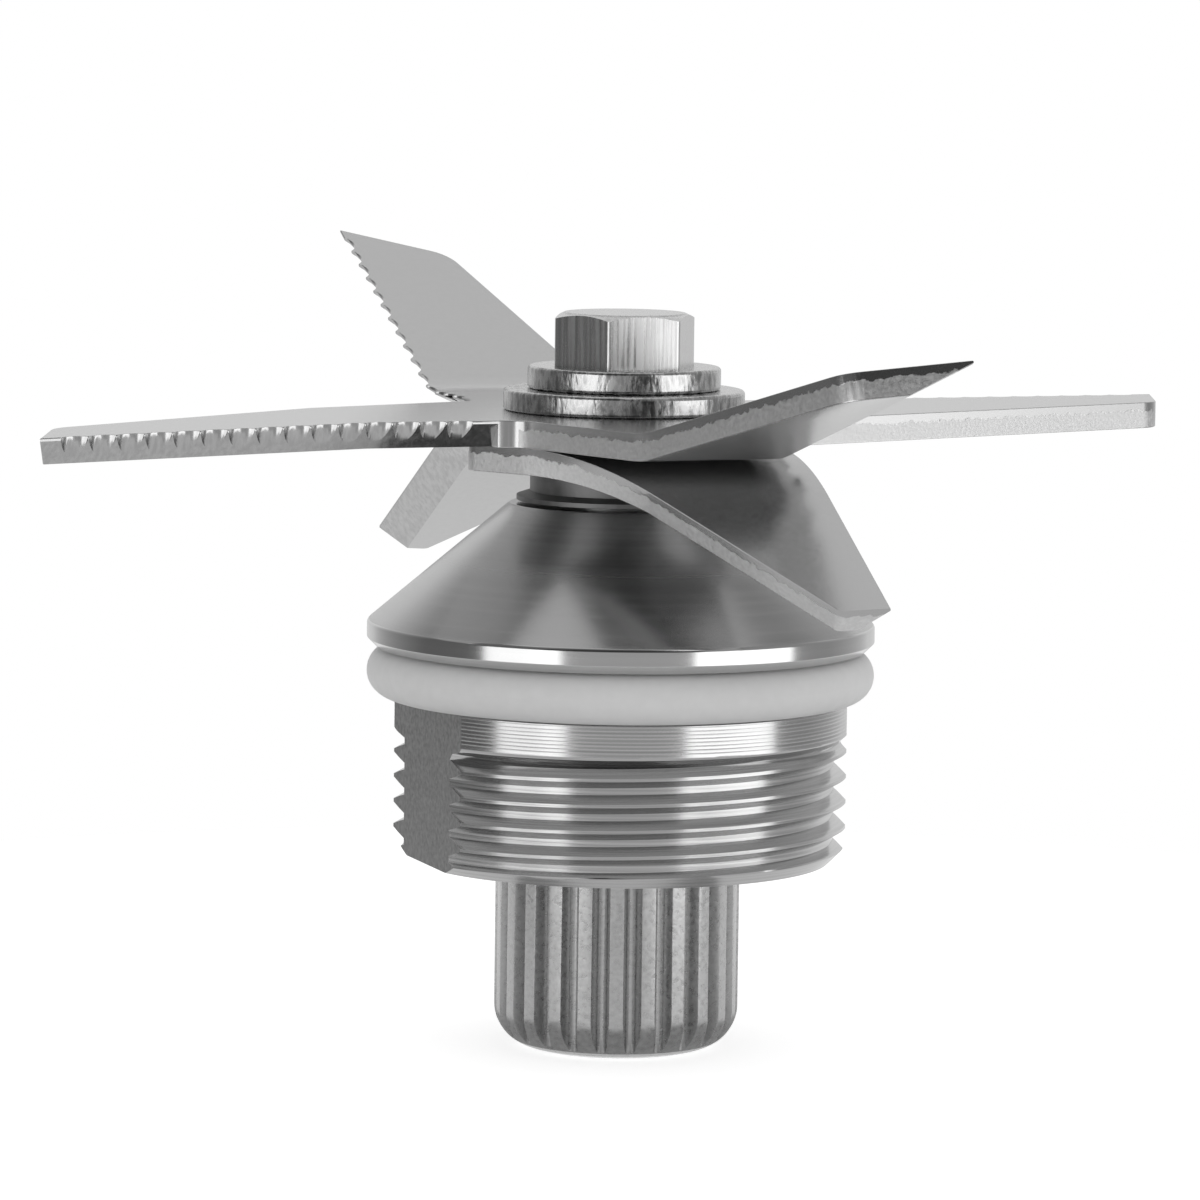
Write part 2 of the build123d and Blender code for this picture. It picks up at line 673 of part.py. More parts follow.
upper_pieces = []
upper_cutters = [drive_hole(lower_blade_top)]
for azimuth, bend, bend_distance, bevel, reach, trail_reach, tip_round in upper_arms:
    arm = blade_arm(
        upper_blade_top, bend_distance, UPPER_BEND_RADIUS, bend,
        bevel, upper_lead, upper_trail, reach, trail_reach, tip_round,
    )
    upper_pieces.append(turned(arm, azimuth))
    for cutter in serration_cutters(upper_blade_top, bend_distance, bend, upper_lead, reach):
        upper_cutters.append(turned(cutter, azimuth))
    hub_end = bend_distance - bend_setback(UPPER_BEND_RADIUS, bend)
    with BuildPart() as bevel_cutter:
        for along in (UPPER_BEVEL_START, hub_end):
            edge = line_at(upper_lead, along)
            with BuildSketch(Plane(origin=(along, 0, upper_blade_top), x_dir=(0, 1, 0), z_dir=(1, 0, 0))):
                with BuildLine():
                    Polyline(
                        (edge, -EDGE_LAND),
                        (edge - bevel, -SHEET_THICKNESS),
                        (edge - bevel, -2 * SHEET_THICKNESS),
                        (edge + SHEET_THICKNESS, -2 * SHEET_THICKNESS),
                        (edge + SHEET_THICKNESS, -EDGE_LAND),
                        close=True,
                    )
                make_face()
        loft()
    upper_cutters.append(turned(bevel_cutter.part, azimuth))

with BuildPart() as upper_blade:
    with BuildSketch(Plane.XY.offset(lower_blade_top)):
        for azimuth, bend, bend_distance, *_ in upper_arms:
            hub_end = bend_distance - bend_setback(UPPER_BEND_RADIUS, bend)
            with BuildLine():
                Polyline(
                    point_towards(azimuth, 0, line_at(upper_trail, 0)),
                    point_towards(azimuth, hub_end, line_at(upper_trail, hub_end)),
                    point_towards(azimuth, hub_end, line_at(upper_lead, hub_end)),
                    point_towards(azimuth, 0, line_at(upper_lead, 0)),
                    close=True,
                )
            make_face()
    extrude(amount=SHEET_THICKNESS)
    corners = upper_blade.edges().filter_by(Axis.Z).sort_by_distance((0, 0, upper_blade_top))[:4]
    fillet(corners, radius=UPPER_CORNER_RADIUS)
    add(upper_pieces)
    add(upper_cutters, mode=Mode.SUBTRACT)
export(upper_blade.part, "upper_blade")

lower_pieces = []
lower_outline = []
lower_corners = []
for azimuth, bend in zip(LOWER_AZIMUTHS, LOWER_BEND_ANGLES):
    arm = blade_arm(
        lower_blade_top, LOWER_BEND_DISTANCE, LOWER_BEND_RADIUS, bend,
        LOWER_BEVEL_WIDTH, lower_lead, lower_trail, LOWER_REACH, LOWER_TRAIL_REACH, LOWER_TIP_ROUND,
    )
    lower_pieces.append(turned(arm, azimuth))
    hub_end = LOWER_BEND_DISTANCE - bend_setback(LOWER_BEND_RADIUS, bend)
    lower_outline.append(point_towards(azimuth, hub_end, line_at(lower_trail, hub_end)))
    lower_outline.append(point_towards(azimuth, hub_end, line_at(lower_lead, hub_end)))
    lower_corners.append(point_towards(azimuth, -LOWER_CORNER_BACK, LOWER_CORNER_SIDE))
    lower_outline.append(lower_corners[-1])
with BuildPart() as lower_blade:
    with BuildSketch(Plane.XY.offset(collar_top)):
        with BuildLine():
            Polyline(*lower_outline, close=True)
        make_face()
    extrude(amount=SHEET_THICKNESS)
    for x, y in lower_corners:
        corner = lower_blade.edges().filter_by(Axis.Z).sort_by_distance((x, y, lower_blade_top))[0]
        fillet(corner, radius=LOWER_CORNER_ROUND)
    add(lower_pieces)
    add(drive_hole(collar_top), mode=Mode.SUBTRACT)
export(lower_blade.part, "lower_blade")


# Washers and bolt
def washer(outer_diameter, bottom, top, label):
    """A plain washer with tumbled edges."""
    with BuildPart() as body:
        with BuildSketch(Plane.XY.offset(bottom)):
            Circle(outer_diameter / 2)
            Circle(WASHER_HOLE / 2, mode=Mode.SUBTRACT)
        extrude(amount=top - bottom)
        rims = body.edges().filter_by(GeomType.CIRCLE).group_by(SortBy.RADIUS)[-1]
        fillet(rims, radius=WASHER_ROUND)
    export(body.part, label)


washer(LOWER_WASHER_OD, upper_blade_top, lower_washer_top, "lower_washer")
washer(UPPER_WASHER_OD, lower_washer_top, upper_washer_top, "upper_washer")

head_corner = BOLT_HEAD_ACROSS / sqrt(3)
head_face_radius = BOLT_HEAD_FACE_DIAMETER / 2
head_cut_radius = head_corner + OVERRUN
head_drop = (head_cut_radius - head_face_radius) * tan(radians(BOLT_HEAD_CHAMFER_ANGLE))
with BuildPart() as blade_bolt:
    with BuildSketch(Plane.XY.offset(upper_washer_top)):
        RegularPolygon(head_corner, 6, rotation=BOLT_HEAD_AZIMUTH)
    extrude(amount=BOLT_HEAD_HEIGHT)
    with BuildSketch(Plane.XZ):
        with BuildLine():
            Polyline(
                (0, upper_washer_top),
                (head_cut_radius, upper_washer_top),
                (head_cut_radius, bolt_top - head_drop),
                (head_face_radius, bolt_top),
                (0, bolt_top),
                close=True,
            )
        make_face()
    revolve(axis=Axis.Z, mode=Mode.INTERSECT)
    with BuildSketch(Plane.XY.offset(upper_washer_top)):
        Circle(BOLT_DIAMETER / 2)
    extrude(amount=-BOLT_LENGTH)
    point = blade_bolt.edges().filter_by(GeomType.CIRCLE).group_by(Axis.Z)[0]
    chamfer(point, length=BOLT_POINT_CHAMFER)
export(blade_bolt.part, "blade_bolt")
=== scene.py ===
"""Looks of a blender blade assembly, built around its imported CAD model."""
# %% [markdown]
# # A blender blade assembly in polished steel
# The object is a small machine part: stamped blades on a shaft, a turned housing with a cone, a rim and
# a thread, a silicone O-ring and a sintered drive stub. The CAD model comes in first as a fixed frame.
# Every piece made here sits in that frame, in metres, and rides on one of its bodies.

import json
import math

import bmesh
import bpy
from mathutils import Matrix, Vector
from mathutils.bvhtree import BVHTree


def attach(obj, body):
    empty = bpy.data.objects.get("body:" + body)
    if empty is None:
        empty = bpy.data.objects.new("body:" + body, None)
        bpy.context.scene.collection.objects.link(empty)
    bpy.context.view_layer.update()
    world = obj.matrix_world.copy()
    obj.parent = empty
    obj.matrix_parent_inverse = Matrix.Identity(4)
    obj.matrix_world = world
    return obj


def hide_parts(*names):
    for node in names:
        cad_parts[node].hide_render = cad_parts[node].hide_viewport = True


MM = 0.001
MICRON = 1e-6
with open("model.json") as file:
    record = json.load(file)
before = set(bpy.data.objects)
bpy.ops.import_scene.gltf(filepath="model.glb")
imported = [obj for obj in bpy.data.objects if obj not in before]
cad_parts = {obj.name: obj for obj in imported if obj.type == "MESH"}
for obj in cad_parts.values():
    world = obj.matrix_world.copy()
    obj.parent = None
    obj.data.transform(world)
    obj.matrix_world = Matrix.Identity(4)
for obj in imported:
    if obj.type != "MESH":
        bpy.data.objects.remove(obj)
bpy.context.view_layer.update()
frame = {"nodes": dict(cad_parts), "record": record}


def in_mm(place):
    """Coordinates in millimetres, rounded for a print."""
    return [round(value / MM, 2) for value in place]


# %% [markdown]
# ## The camera
# The photograph was taken with a long lens from half a metre away, a little above the blades. A long
# lens keeps the thread and the rim nearly parallel, and the small roll leans the shaft to the right.
# The camera's angles are in degrees, and its focal length and sensor in millimetres.

# %% Set up the camera
CAMERA_PLACE = Vector((-1.67, -480.0, 86.76)) * MM
CAMERA_PITCH = 6.11
CAMERA_ROLL = 0.76
FOCAL_LENGTH = 183.8
SENSOR_WIDTH = 36.0
NEAR_CLIP = 0.01

camera_data = bpy.data.cameras.new("product_camera")
camera_data.lens = FOCAL_LENGTH
camera_data.sensor_width = SENSOR_WIDTH
camera_data.clip_start = NEAR_CLIP
camera = bpy.data.objects.new("product_camera", camera_data)
bpy.context.collection.objects.link(camera)
pitch = Matrix.Rotation(math.radians(90 - CAMERA_PITCH), 4, "X")
roll = Matrix.Rotation(math.radians(CAMERA_ROLL), 4, "Z")
aim = pitch @ roll
camera.matrix_world = Matrix.Translation(CAMERA_PLACE) @ aim
bpy.context.scene.camera = camera
print("camera distance:", round(CAMERA_PLACE.length, 3), "m")

# %% [markdown]
# ## Helpers for nodes and objects
# The world, the walls, the table, the effects and the materials are all small node trees, so a few
# helpers come first. In each of them an input is either a value or another node's output socket.

# %% Node helpers
WHITE = (1, 1, 1, 1)


def new_material(name):
    """An empty node material, its node tree and its output node."""
    material = bpy.data.materials.new(name)
    material.use_nodes = True
    material.node_tree.nodes.clear()
    output = material.node_tree.nodes.new("ShaderNodeOutputMaterial")
    return material, material.node_tree, output


def join(tree, source, target):
    """Link two sockets."""
    tree.links.new(source, target)


def add(tree, kind, inputs, **settings):
    """A node with its settings; each input is a value or a socket to link."""
    made = tree.nodes.new(kind)
    for name, value in settings.items():
        setattr(made, name, value)
    for key, value in inputs.items():
        if isinstance(value, bpy.types.NodeSocket):
            join(tree, value, made.inputs[key])
        else:
            made.inputs[key].default_value = value
    return made


def math_node(tree, operation, *values):
    """Output of a math node."""
    return add(tree, "ShaderNodeMath", dict(enumerate(values)), operation=operation).outputs[0]


def remap(tree, value, source, target=(0.0, 1.0)):
    """A value moved from a source range to a target range, and clamped there."""
    return add(tree, "ShaderNodeMapRange", {
        "Value": value,
        "From Min": source[0],
        "From Max": source[1],
        "To Min": target[0],
        "To Max": target[1],
    }).outputs["Result"]


def noise(tree, place, scale, detail):
    """Value of a noise texture."""
    texture = add(tree, "ShaderNodeTexNoise", {"Vector": place, "Scale": scale, "Detail": detail})
    return texture.outputs["Fac"]


def object_place(tree):
    """Object coordinates of the shaded point."""
    return tree.nodes.new("ShaderNodeTexCoord").outputs["Object"]


def axes_of(tree, place):
    """The outputs X, Y and Z of a separated vector."""
    return add(tree, "ShaderNodeSeparateXYZ", {0: place}).outputs


def seen_rays(tree):
    """1 for rays from the camera, from a reflection or through clear matter, and 0 for the others."""
    rays = tree.nodes.new("ShaderNodeLightPath")
    shiny = math_node(tree, "MAXIMUM", rays.outputs["Is Glossy Ray"], rays.outputs["Is Transmission Ray"])
    return math_node(tree, "MAXIMUM", rays.outputs["Is Camera Ray"], shiny)


# %% Object helper
def new_object(name, bm):
    """An object at the origin with the mesh of a bmesh, which is freed."""
    mesh = bpy.data.meshes.new(name)
    bm.to_mesh(mesh)
    bm.free()
    made = bpy.data.objects.new(name, mesh)
    bpy.context.collection.objects.link(made)
    return made


# %% [markdown]
# ## The studio
# Steel has hardly any colour of its own: it shows the room. The room here has a white sweep behind the
# object, grey walls that grow lighter towards the back, a ceiling that is dark above the camera, and a
# softbox on either side of the camera. The walls and the ceiling are seen by reflections only, as a
# photographer keeps them out of the frame. The sweep is white in the picture and gives matt surfaces a
# weaker fill light. Places and sizes in the studio are in metres.

# %% World
FILL_STRENGTH = 0.62
SWEEP_STRENGTH = 1.0

scene = bpy.context.scene
scene.view_settings.view_transform = "Standard"
world = bpy.data.worlds.new("white_room")
world.use_nodes = True
scene.world = world
room = world.node_tree
room.nodes.clear()
fill_light = add(room, "ShaderNodeBackground", {"Color": WHITE, "Strength": FILL_STRENGTH})
white_sweep = add(room, "ShaderNodeBackground", {"Color": WHITE, "Strength": SWEEP_STRENGTH})
room_mix = add(room, "ShaderNodeMixShader", {
    0: seen_rays(room),
    1: fill_light.outputs[0],
    2: white_sweep.outputs[0],
})
add(room, "ShaderNodeOutputWorld", {"Surface": room_mix.outputs[0]})

# %% Softboxes
SOFTBOX_AIM = Vector((0, 0, 35 * MM))
SOFTBOX_ELEVATION = -7
SOFTBOX_DISTANCE = 1.0
SOFTBOX_HEIGHT = 0.68


def softbox(name, azimuth, width, watts):
    """A lamp that faces the object; azimuth 0 is at the camera and 90 at the picture's right."""
    turn = math.radians(azimuth)
    rise = math.radians(SOFTBOX_ELEVATION)
    towards = Vector((math.sin(turn) * math.cos(rise), -math.cos(turn) * math.cos(rise), math.sin(rise)))
    facing = towards.to_track_quat("Z", "Y").to_matrix().to_4x4()
    lamp_data = bpy.data.lights.new(name, "AREA")
    lamp_data.shape = "RECTANGLE"
    lamp_data.size = width
    lamp_data.size_y = SOFTBOX_HEIGHT
    lamp_data.energy = watts
    lamp = bpy.data.objects.new(name, lamp_data)
    bpy.context.collection.objects.link(lamp)
    lamp.matrix_world = Matrix.Translation(SOFTBOX_AIM + towards * SOFTBOX_DISTANCE) @ facing
    print(name, round(watts / (math.pi * width * SOFTBOX_HEIGHT), 2), "W/m2/sr")


softbox("left_softbox", azimuth=-45, width=0.67, watts=2.2)
softbox("right_softbox", azimuth=58, width=0.93, watts=3.3)


# %% A wall for reflections only
def grey_wall(name, corners, axis, span, greys):
    """A wall that only reflections see; its grey changes over a span of the axis."""
    bm = bmesh.new()
    bm.faces.new([bm.verts.new(corner) for corner in corners])
    wall = new_object(name, bm)
    material, tree, output = new_material(name)
    along = axes_of(tree, object_place(tree))[axis]
    glow = add(tree, "ShaderNodeEmission", {"Color": WHITE, "Strength": remap(tree, along, span, greys)})
    join(tree, glow.outputs[0], output.inputs["Surface"])
    wall.data.materials.append(material)
    wall.visible_camera = False
    wall.visible_diffuse = False
    wall.visible_shadow = False
    wall.visible_transmission = False


# %% Walls and ceiling: corners, axis, span and the greys at its two ends
ROOM_LEFT = -1.3
ROOM_RIGHT = 1.3
ROOM_FRONT = -1.6
ROOM_BACK = 2.4
ROOM_TOP = 1.5
ROOM_BOTTOM = -0.8
CEILING_LEFT = -0.75
CEILING_RIGHT = 0.75


def upright(x1, y1, x2, y2):
    """Corners of a wall that stands between two points."""
    return [(x1, y1, ROOM_BOTTOM), (x2, y2, ROOM_BOTTOM), (x2, y2, ROOM_TOP), (x1, y1, ROOM_TOP)]


def level_patch(x1, y1, x2, y2, height):
    """Corners of a level rectangle between two points."""
    return [(x1, y1, height), (x2, y1, height), (x2, y2, height), (x1, y2, height)]


def ceiling_strip(left, right):
    """Corners of a strip of ceiling that runs from the front of the room to its back."""
    return level_patch(left, ROOM_FRONT, right, ROOM_BACK, ROOM_TOP)


left_side = upright(ROOM_LEFT, ROOM_FRONT, ROOM_LEFT, ROOM_BACK)
right_side = upright(ROOM_RIGHT, ROOM_FRONT, ROOM_RIGHT, ROOM_BACK)
front_side = upright(ROOM_LEFT, ROOM_FRONT, ROOM_RIGHT, ROOM_FRONT)
back_side = upright(ROOM_LEFT, ROOM_BACK, ROOM_RIGHT, ROOM_BACK)
grey_wall("left_wall", left_side, "Y", (0.2, 2.4), (0.15, 0.75))
grey_wall("right_wall", right_side, "Y", (0.4, 2.6), (0.34, 0.88))
grey_wall("front_wall", front_side, "Z", (0.1, 0.5), (0.47, 0.05))
grey_wall("back_wall", back_side, "Z", (0.0, 1.0), (0.74, 0.86))
grey_wall("ceiling", ceiling_strip(CEILING_LEFT, CEILING_RIGHT), "Y", (-0.9, 0.1), (0.10, 0.74))
grey_wall("left_ceiling", ceiling_strip(ROOM_LEFT, CEILING_LEFT), "Y", (0.8, 2.2), (0.20, 0.60))
grey_wall("right_ceiling", ceiling_strip(CEILING_RIGHT, ROOM_RIGHT), "Y", (0.8, 2.2), (0.30, 0.60))

# %% [markdown]
# ## The table
# The stub stands on a small pale disc. To the camera it also glows a little, so it is as white as the
# sweep wherever light reaches it, and only the soft shadow under the stub stays. Two cards just above
# it are seen by reflections only: steel mirrors a table that is greyer towards the camera, and a dark
# card right under the stub is a painted contact shadow in those reflections.

# %% Cards on the table
TABLE_RADIUS = 0.12
TABLE_CARD_LEVEL = 0.0003
PAINTED_SHADOW_HALF = 0.0135
PAINTED_SHADOW_LEVEL = 0.0006

table_corners = level_patch(-TABLE_RADIUS, -TABLE_RADIUS, TABLE_RADIUS, TABLE_RADIUS, TABLE_CARD_LEVEL)
grey_wall("table_card", table_corners, "Y", (-0.02, 0.06), (0.66, 0.90))
# A dark card right under the stub, seen by reflections only: a painted contact shadow.
painted_shadow_corners = level_patch(
    -PAINTED_SHADOW_HALF, -PAINTED_SHADOW_HALF, PAINTED_SHADOW_HALF, PAINTED_SHADOW_HALF, PAINTED_SHADOW_LEVEL
)
grey_wall("painted_contact_shadow_card", painted_shadow_corners, "Y", (-0.02, 0.02), (0.25, 0.40))

# %% Table top
TABLE_SEGMENTS = 96
TABLE_PAINT = (0.85, 0.85, 0.85, 1)
TABLE_GLOW = 0.62

bm = bmesh.new()
bmesh.ops.create_circle(bm, cap_ends=True, segments=TABLE_SEGMENTS, radius=TABLE_RADIUS)
floor = new_object("floor", bm)
floor_material, tree, output = new_material("pale_floor")
paint = add(tree, "ShaderNodeBsdfDiffuse", {"Color": TABLE_PAINT})
glow = add(tree, "ShaderNodeEmission", {"Color": WHITE, "Strength": TABLE_GLOW})
both = add(tree, "ShaderNodeAddShader", {0: paint.outputs[0], 1: glow.outputs[0]})
choose = add(tree, "ShaderNodeMixShader", {0: seen_rays(tree), 1: paint.outputs[0], 2: both.outputs[0]})
join(tree, choose.outputs[0], output.inputs["Surface"])
floor.data.materials.append(floor_material)

# %% [markdown]
# ## Effects as node groups
# Four small groups make the marks that tools leave on steel. Each one reads object coordinates, so the
# marks stay with the metal when it turns, and puts out a Shade and a Height. Shade runs from 0 to 1 and
# falls below 0 in a pit. Height has about the same span and lifts or sinks the surface. Most values of
# a noise texture lie in the middle of its range, so a narrow span of them is stretched to 0 and 1.

# %% Group helpers
NOISE_SPAN = (0.3, 0.7)
SHARP_SPAN = (0.35, 0.65)


def new_group(name, inputs):
    """An effect group with number inputs and the outputs Shade and Height."""
    group = bpy.data.node_groups.new(name, "ShaderNodeTree")
    sockets = group.interface
    sockets.new_socket(name="Vector", in_out="INPUT", socket_type="NodeSocketVector")
    for label, value in inputs.items():
        number = sockets.new_socket(name=label, in_out="INPUT", socket_type="NodeSocketFloat")
        number.default_value = value
    for label in ("Shade", "Height"):
        sockets.new_socket(name=label, in_out="OUTPUT", socket_type="NodeSocketFloat")
    return group, group.nodes.new("NodeGroupInput"), group.nodes.new("NodeGroupOutput")


def put_out(tree, result, shade, height):
    """Join an effect's shade and height to the outputs of its group."""
    join(tree, shade, result.inputs["Shade"])
    join(tree, height, result.inputs["Height"])


def radius_of(tree, axes):
    """Distance from the shaft's axis."""
    x_square = math_node(tree, "MULTIPLY", axes["X"], axes["X"])
    y_square = math_node(tree, "MULTIPLY", axes["Y"], axes["Y"])
    return math_node(tree, "SQRT", math_node(tree, "ADD", x_square, y_square))


# %% Grain: a fine even speckle with coarser pits, as on ground or sintered metal
PIT_SCALE = 0.45
PIT_SPAN = (0.70, 0.76)

grain, given, result = new_group("grain", {"Scale": 3000.0, "Pits": 0.0})
speckle = noise(grain, given.outputs["Vector"], given.outputs["Scale"], 3.0)
coarse_scale = math_node(grain, "MULTIPLY", given.outputs["Scale"], PIT_SCALE)
coarse = noise(grain, given.outputs["Vector"], coarse_scale, 1.0)
pit_depth = math_node(grain, "MULTIPLY", remap(grain, coarse, PIT_SPAN), given.outputs["Pits"])
shade = math_node(grain, "SUBTRACT", remap(grain, speckle, NOISE_SPAN), pit_depth)
put_out(grain, result, shade, shade)

# %% Turned lines: rings that a lathe tool leaves, the same all the way round
turned_lines, given, result = new_group("turned_lines", {"Scale": 4000.0})
axes = axes_of(turned_lines, given.outputs["Vector"])
profile_place = add(turned_lines, "ShaderNodeCombineXYZ", {
    "X": radius_of(turned_lines, axes),
    "Y": axes["Z"],
})
rings = noise(turned_lines, profile_place.outputs[0], given.outputs["Scale"], 2.0)
shade = remap(turned_lines, rings, NOISE_SPAN)
put_out(turned_lines, result, shade, shade)

# %% Streaks: marks that run along the thickness, from a punch or a shaving tool
streaks, given, result = new_group("streaks", {"Scale": 5000.0, "Length": 0.08})
axes = axes_of(streaks, given.outputs["Vector"])
short_z = math_node(streaks, "MULTIPLY", axes["Z"], given.outputs["Length"])
streak_place = add(streaks, "ShaderNodeCombineXYZ", {"X": axes["X"], "Y": axes["Y"], "Z": short_z})
marks = noise(streaks, streak_place.outputs[0], given.outputs["Scale"], 2.0)
shade = remap(streaks, marks, SHARP_SPAN)
put_out(streaks, result, shade, shade)

# %% Blanked edge: a smooth sheared band above a rough broken band, with a ragged line between
BORDER_SPAN = (-0.02, 0.03)
CRUMB_SCALE = 2.4
FLECK_GREYS = (0.55, 1.0)
BROKEN_STEP = 0.8

blanked, given, result = new_group(
    "blanked", {"Depth": 0.5, "Sheared": 0.32, "Ragged": 0.12, "Scale": 1500.0}
)
wander = noise(blanked, given.outputs["Vector"], given.outputs["Scale"], 3.0)
offset = math_node(blanked, "SUBTRACT", wander, 0.5)
swing = math_node(blanked, "MULTIPLY", offset, given.outputs["Ragged"])
full_swing = math_node(blanked, "MULTIPLY", swing, 2.0)
border = math_node(blanked, "ADD", given.outputs["Sheared"], full_swing)
broken = remap(blanked, math_node(blanked, "SUBTRACT", given.outputs["Depth"], border), BORDER_SPAN)
crumb_scale = math_node(blanked, "MULTIPLY", given.outputs["Scale"], CRUMB_SCALE)
crumbs = noise(blanked, given.outputs["Vector"], crumb_scale, 4.0)
shade = math_node(blanked, "MULTIPLY", broken, remap(blanked, crumbs, NOISE_SPAN, FLECK_GREYS))
rubble = math_node(blanked, "MULTIPLY", crumbs, broken)
height = math_node(blanked, "SUBTRACT", rubble, math_node(blanked, "MULTIPLY", broken, BROKEN_STEP))
put_out(blanked, result, shade, height)
print("groups:", [group.name for group in bpy.data.node_groups])


# %% [markdown]
# ## Materials
# Every steel look is one Principled shader with metal switched on. An effect group moves its grey and
# its roughness between two values and raises a bump of some microns, or of less than one. The blanked
# edge also reads the depth that a blade stores at each vertex.

# %% A steel look
def bump(tree, effect, microns):
    """Normal of a bump that follows an effect's height."""
    return add(tree, "ShaderNodeBump", {
        "Distance": microns * MICRON,
        "Strength": 1.0,
        "Height": effect.outputs["Height"],
    }).outputs["Normal"]


def steel(name, group, settings, greys, roughs, microns):
    """Steel whose grey and roughness run from the first to the second value with the effect's shade."""
    material, tree, output = new_material(name)
    effect = add(tree, "ShaderNodeGroup", {"Vector": object_place(tree), **settings}, node_tree=group)
    if "Depth" in effect.inputs:
        stored = add(tree, "ShaderNodeAttribute", {}, attribute_name="depth")
        join(tree, stored.outputs["Fac"], effect.inputs["Depth"])
    shader = add(tree, "ShaderNodeBsdfPrincipled", {
        "Base Color": remap(tree, effect.outputs["Shade"], (0.0, 1.0), greys),
        "Metallic": 1.0,
        "Roughness": remap(tree, effect.outputs["Shade"], (0.0, 1.0), roughs),
        "Normal": bump(tree, effect, microns),
    })
    join(tree, shader.outputs[0], output.inputs["Surface"])
    return material


# %% The steels: effect, its settings, two greys, two roughnesses and the bump in microns
STEELS = {
    "polished_steel": (turned_lines, {"Scale": 1500.0}, (0.56, 0.62), (0.12, 0.18), 0.8),
    "satin_cone": (turned_lines, {"Scale": 1200.0}, (0.48, 0.52), (0.22, 0.28), 0.3),
    "threaded_steel": (turned_lines, {"Scale": 5000.0}, (0.48, 0.60), (0.15, 0.24), 2.0),
    "milled_flat": (grain, {"Scale": 2600.0, "Pits": 0.4}, (0.15, 0.36), (0.42, 0.58), 12.0),
    "bored_steel": (turned_lines, {"Scale": 3000.0}, (0.40, 0.50), (0.25, 0.40), 2.0),
    "satin_sheet": (grain, {"Scale": 2500.0}, (0.565, 0.585), (0.22, 0.26), 0.05),
    "ground_edge": (streaks, {"Scale": 3000.0, "Length": 0.05}, (0.46, 0.54), (0.16, 0.22), 0.12),
    "blanked_edge": (blanked, {"Ragged": 0.22}, (0.51, 0.76), (0.24, 0.60), 25.0),
    "washer_rim": (streaks, {"Scale": 2600.0, "Length": 0.35}, (0.36, 0.70), (0.12, 0.34), 12.0),
    "bolt_side": (streaks, {"Scale": 3200.0, "Length": 0.03}, (0.54, 0.70), (0.18, 0.34), 2.0),
    "sintered_steel_look": (grain, {"Scale": 2400.0, "Pits": 0.7}, (0.48, 0.64), (0.24, 0.38), 7.0),
    "turned_plain": (turned_lines, {"Scale": 4000.0}, (0.50, 0.60), (0.25, 0.38), 2.0),
    "dull_collar": (grain, {"Scale": 700.0}, (0.16, 0.24), (0.40, 0.55), 10.0),
    "race_steel": (turned_lines, {"Scale": 6000.0}, (0.58, 0.66), (0.08, 0.16), 0.5),
    "pressed_steel_look": (grain, {"Scale": 2000.0, "Pits": 0.2}, (0.46, 0.54), (0.25, 0.36), 2.0),
}
steels = {name: steel(name, *values) for name, values in STEELS.items()}

# %% Silicone and rubber
MOULD_GRAIN_SCALE = 900.0
MOULD_TONE_CHANGE = 0.02
GLOW_REACH = 2 * MM


def soft_look(name, grey, rough, glow, microns):
    """Silicone or rubber with a little light inside and a faint moulded grain."""
    material, tree, output = new_material(name)
    settings = {"Vector": object_place(tree), "Scale": MOULD_GRAIN_SCALE}
    effect = add(tree, "ShaderNodeGroup", settings, node_tree=grain)
    greys = (grey * (1 - MOULD_TONE_CHANGE), grey * (1 + MOULD_TONE_CHANGE))
    shader = add(tree, "ShaderNodeBsdfPrincipled", {
        "Base Color": remap(tree, effect.outputs["Shade"], (0.0, 1.0), greys),
        "Roughness": rough,
        "Normal": bump(tree, effect, microns),
        "Subsurface Weight": glow,
        "Subsurface Scale": GLOW_REACH,
        "Subsurface Radius": (1, 1, 1),
        "Specular IOR Level": 0.3,
    })
    join(tree, shader.outputs[0], output.inputs["Surface"])
    return material


silicone = soft_look("milky_silicone", grey=0.66, rough=0.6, glow=0.4, microns=2)
rubber = soft_look("black_rubber", grey=0.03, rough=0.55, glow=0.0, microns=3)

# %% Looks for the CAD nodes that are shown as they are
SLOT_LOOKS = {
    "housing_steel": steels["polished_steel"],
    "o_ring_silicone": silicone,
    "sintered_steel": steels["sintered_steel_look"],
    "shaft_steel": steels["turned_plain"],
    "bearing_steel": steels["race_steel"],
    "pressed_steel": steels["pressed_steel_look"],
    "seal_rubber": rubber,
    "washer_steel": steels["washer_rim"],
    "blade_steel": steels["satin_sheet"],
    "bolt_steel": steels["bolt_side"],
}
for part in frame["record"]["subparts"]:
    node = frame["nodes"][part["node"]]
    node.data.materials.clear()
    node.data.materials.append(SLOT_LOOKS[part["material_slot"]])
for collar in ("blade_spacer", "slinger_ring"):
    frame["nodes"][collar].data.materials[0] = steels["dull_collar"]

# %% [markdown]
# ## Pieces
# A piece is a mesh that rides on one of the bodies and stands for one CAD node. The first helper
# finishes one: normals outward, faces smooth, and an edge marked sharp wherever two faces meet at more
# than a given angle. The others spin a profile round the shaft's axis.

